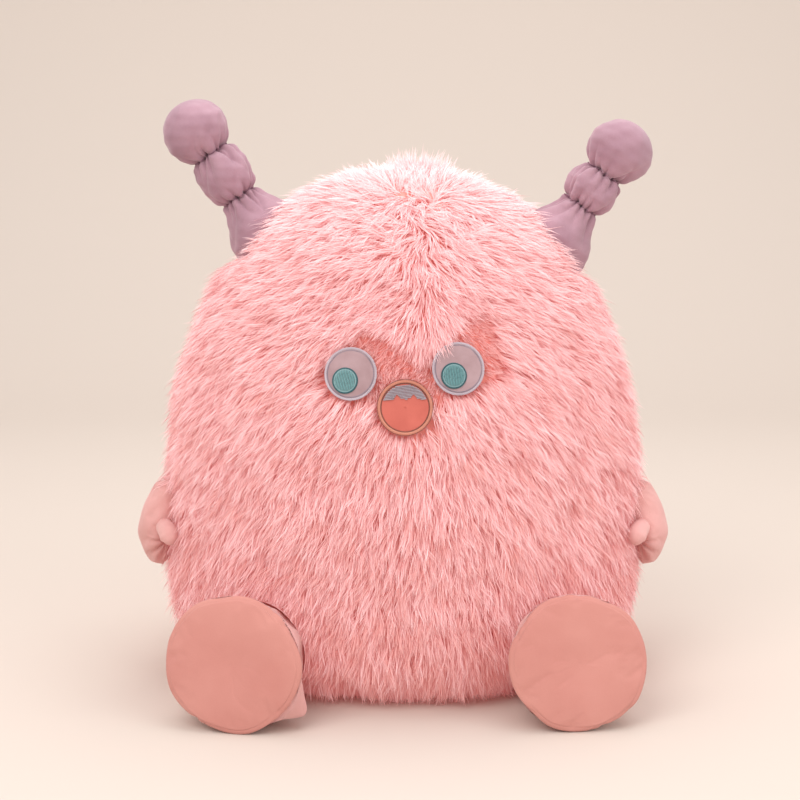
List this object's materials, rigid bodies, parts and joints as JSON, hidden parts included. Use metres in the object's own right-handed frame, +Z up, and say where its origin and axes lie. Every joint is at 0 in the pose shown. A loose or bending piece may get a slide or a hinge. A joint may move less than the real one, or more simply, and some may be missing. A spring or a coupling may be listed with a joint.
{
  "type": "plush monster toy",
  "caption": "Sitting shaggy egg-shaped plush monster with bending gathered antennae, swinging mitten arms, lifting stub legs with round soles, and a flat embroidered face.",
  "frame": {"origin": "middle of the flat base panel, on the surface that the toy sits on", "axes": "+Z up, -Y the way the face looks, +X the toy's own left"},
  "size_m": [0.4578, 0.3607, 0.4999],
  "materials": {
    "long_pile": "long shaggy polyester pile, soft sheen",
    "base_cloth": "short plush, matte",
    "fibre_fill": "loose polyester fibre, matte",
    "velvet": "smooth velvet, soft sheen",
    "tie_thread": "wound sewing thread, matte",
    "limb_cloth": "smooth short plush, soft sheen",
    "sole_cloth": "smooth brushed knit, matte",
    "eye_satin": "smooth woven satin",
    "eye_thread": "satin stitch thread, soft sheen",
    "pupil_thread": "embroidered fill stitch, soft sheen",
    "pupil_rim_thread": "satin stitch thread, soft sheen",
    "mouth_cloth": "smooth brushed knit, matte",
    "mouth_thread": "satin stitch thread, soft sheen",
    "teeth_thread": "embroidered fill stitch, soft sheen"
  },
  "bodies": {
    "body": {"body_front_cover": "long_pile", "body_back_cover": "long_pile", "body_base_panel": "base_cloth", "body_stuffing": "fibre_fill", "eye_right_white": "eye_satin", "eye_right_rim": "eye_thread", "eye_right_pupil": "pupil_thread", "eye_right_pupil_rim": "pupil_rim_thread", "eye_left_white": "eye_satin", "eye_left_rim": "eye_thread", "eye_left_pupil": "pupil_thread", "eye_left_pupil_rim": "pupil_rim_thread", "mouth_patch": "mouth_cloth", "mouth_rim_outer": "mouth_thread", "mouth_rim_inner": "mouth_thread", "mouth_teeth": "teeth_thread", "antenna_right_base_cover": "velvet", "antenna_right_base_stuffing": "fibre_fill", "antenna_right_lower_tie": "tie_thread", "antenna_left_base_cover": "velvet", "antenna_left_base_stuffing": "fibre_fill", "antenna_left_lower_tie": "tie_thread"},
    "antenna_right_middle": {"antenna_right_middle_cover": "velvet", "antenna_right_middle_stuffing": "fibre_fill", "antenna_right_upper_tie": "tie_thread"},
    "antenna_right_tip": {"antenna_right_tip_cover": "velvet", "antenna_right_tip_stuffing": "fibre_fill"},
    "arm_right": {"arm_right_cover": "limb_cloth", "arm_right_stuffing": "fibre_fill", "arm_right_thumb": "limb_cloth"},
    "leg_right": {"leg_right_cover": "limb_cloth", "leg_right_sole": "sole_cloth", "leg_right_stuffing": "fibre_fill"},
    "antenna_left_middle": {"antenna_left_middle_cover": "velvet", "antenna_left_middle_stuffing": "fibre_fill", "antenna_left_upper_tie": "tie_thread"},
    "antenna_left_tip": {"antenna_left_tip_cover": "velvet", "antenna_left_tip_stuffing": "fibre_fill"},
    "arm_left": {"arm_left_cover": "limb_cloth", "arm_left_stuffing": "fibre_fill", "arm_left_thumb": "limb_cloth"},
    "leg_left": {"leg_left_cover": "limb_cloth", "leg_left_sole": "sole_cloth", "leg_left_stuffing": "fibre_fill"}
  },
  "joints": [
    {"name": "antenna_right_lower_bend", "type": "hinge", "parent": "body", "child": "antenna_right_middle", "pos_m": [-0.142, 0, 0.4183], "axis": [0, -1, 0], "range_deg": [-25, 25], "stiffness_Nm_per_rad": 0.1},
    {"name": "antenna_right_upper_bend", "type": "hinge", "parent": "antenna_right_middle", "child": "antenna_right_tip", "pos_m": [-0.16617, 0, 0.45386], "axis": [0, -1, 0], "range_deg": [-25, 25], "stiffness_Nm_per_rad": 0.1},
    {"name": "arm_right_swing", "type": "hinge", "parent": "body", "child": "arm_right", "pos_m": [-0.202, -0.03, 0.17], "axis": [0, 1, 0], "range_deg": [0, 75], "stiffness_Nm_per_rad": 0.05},
    {"name": "leg_right_lift", "type": "hinge", "parent": "body", "child": "leg_right", "pos_m": [-0.123, -0.119, 0.0432], "axis": [-0.9781, 0.2079, 0], "range_deg": [-15, 12], "stiffness_Nm_per_rad": 0.8},
    {"name": "antenna_left_lower_bend", "type": "hinge", "parent": "body", "child": "antenna_left_middle", "pos_m": [0.1545, 0, 0.41], "axis": [0, 1, 0], "range_deg": [-25, 25], "stiffness_Nm_per_rad": 0.1},
    {"name": "antenna_left_upper_bend", "type": "hinge", "parent": "antenna_left_middle", "child": "antenna_left_tip", "pos_m": [0.17386, 0, 0.43734], "axis": [0, 1, 0], "range_deg": [-25, 25], "stiffness_Nm_per_rad": 0.1},
    {"name": "arm_left_swing", "type": "hinge", "parent": "body", "child": "arm_left", "pos_m": [0.202, -0.03, 0.17], "axis": [0, -1, 0], "range_deg": [0, 75], "stiffness_Nm_per_rad": 0.05},
    {"name": "leg_left_lift", "type": "hinge", "parent": "body", "child": "leg_left", "pos_m": [0.133, -0.114, 0.0432], "axis": [-0.9925, -0.1219, 0], "range_deg": [-15, 12], "stiffness_Nm_per_rad": 0.8}
  ]
}
